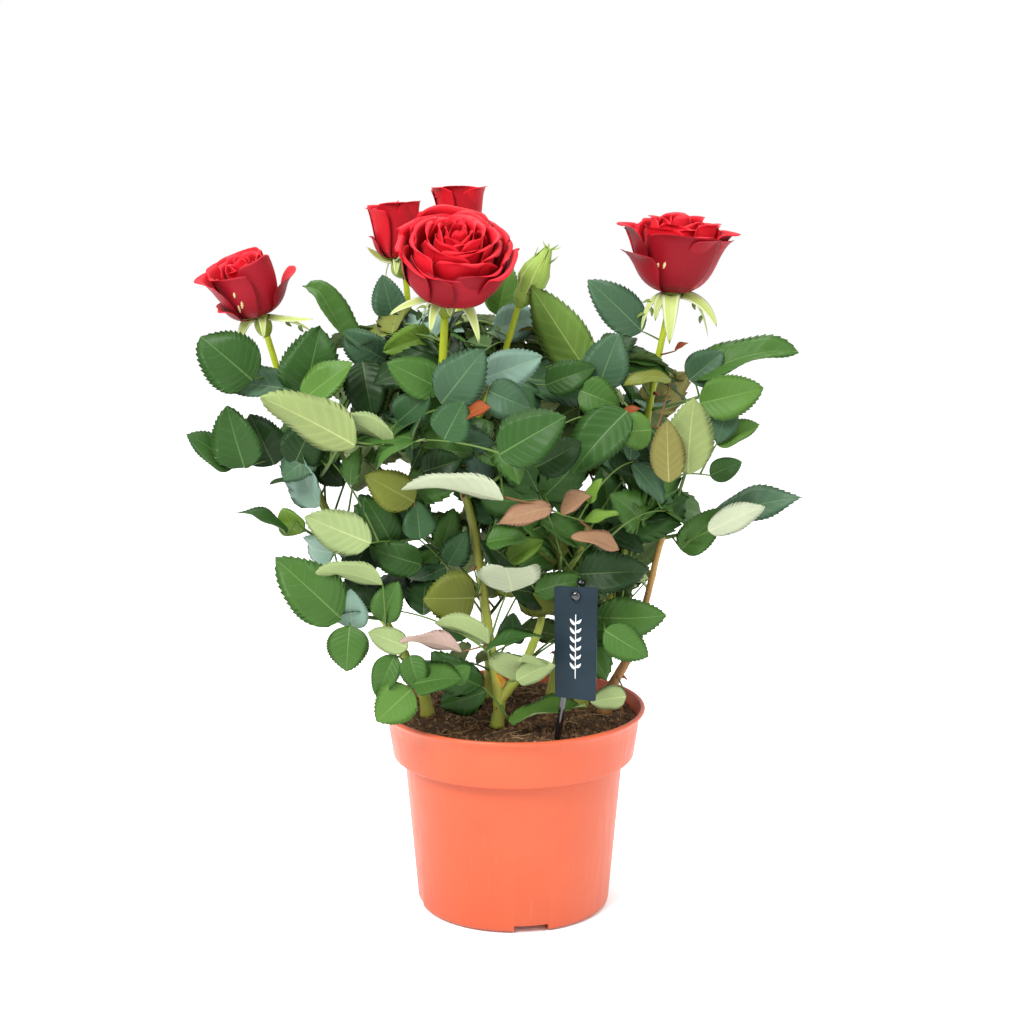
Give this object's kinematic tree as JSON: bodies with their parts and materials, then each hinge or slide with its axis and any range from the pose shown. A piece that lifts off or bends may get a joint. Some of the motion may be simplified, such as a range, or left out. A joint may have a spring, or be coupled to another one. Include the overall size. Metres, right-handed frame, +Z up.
{
  "type": "potted rose bush",
  "caption": "Bushy rose plant with red blooms and a bud on green canes over masses of toothed leaves, in a round plastic nursery pot with soil and a slim plant label.",
  "frame": {"origin": "centre of the pot's flat underside, on its central pad", "axes": "+Z up along the pot's axis, -Y towards the front of the plant where the label hangs, +X to the right as seen from the front"},
  "size_m": [0.3832, 0.2639, 0.4626],
  "materials": {
    "pot": "satin terracotta-orange moulded plastic",
    "soil": "moist gritty potting mix",
    "cane": "smooth green cane with small prickles",
    "wood": "tan-brown woody bark",
    "hip": "smooth pale green",
    "petal": "velvety red",
    "leaf": "satin dark green leaf",
    "label": "dark slate satin plastic",
    "pick": "glossy black plastic"
  },
  "bodies": {
    "root": {"pot": "pot", "soil": "soil", "label_plate": "label", "label_pick": "pick", "label_peg": "pick", "front_cane": "cane", "left_cane": "cane", "right_cane": "cane", "back_cane": "cane", "back_right_cane": "cane", "front_bough": "cane", "bud_bough": "cane", "back_left_bough": "cane", "right_woody_cane": "wood", "left_hip": "hip", "left_bloom": "petal", "back_left_hip": "hip", "back_left_bloom": "petal", "front_hip": "hip", "front_bloom": "petal", "back_hip": "hip", "back_bloom": "petal", "right_hip": "hip", "right_bloom": "petal", "bud": "hip", "front_centre_mass": "leaf", "front_left_mass": "leaf", "top_front_mass": "leaf", "heart_mass": "leaf", "left_heart_mass": "leaf", "right_heart_mass": "leaf", "low_heart_mass": "leaf", "low_centre_mass": "leaf", "upper_left_mass": "leaf", "mid_left_mass": "leaf", "low_left_mass": "leaf", "bottom_left_mass": "leaf", "left_skirt_mass": "leaf", "top_left_mass": "leaf", "crown_mass": "leaf", "upper_right_mass": "leaf", "far_upper_right_mass": "leaf", "mid_right_mass": "leaf", "far_right_mass": "leaf", "bottom_right_mass": "leaf", "back_mass": "leaf", "back_top_mass": "leaf", "back_left_mass": "leaf", "back_right_mass": "leaf", "low_back_left_mass": "leaf", "low_back_right_mass": "leaf", "low_back_mass": "leaf"}
  },
  "joints": []
}
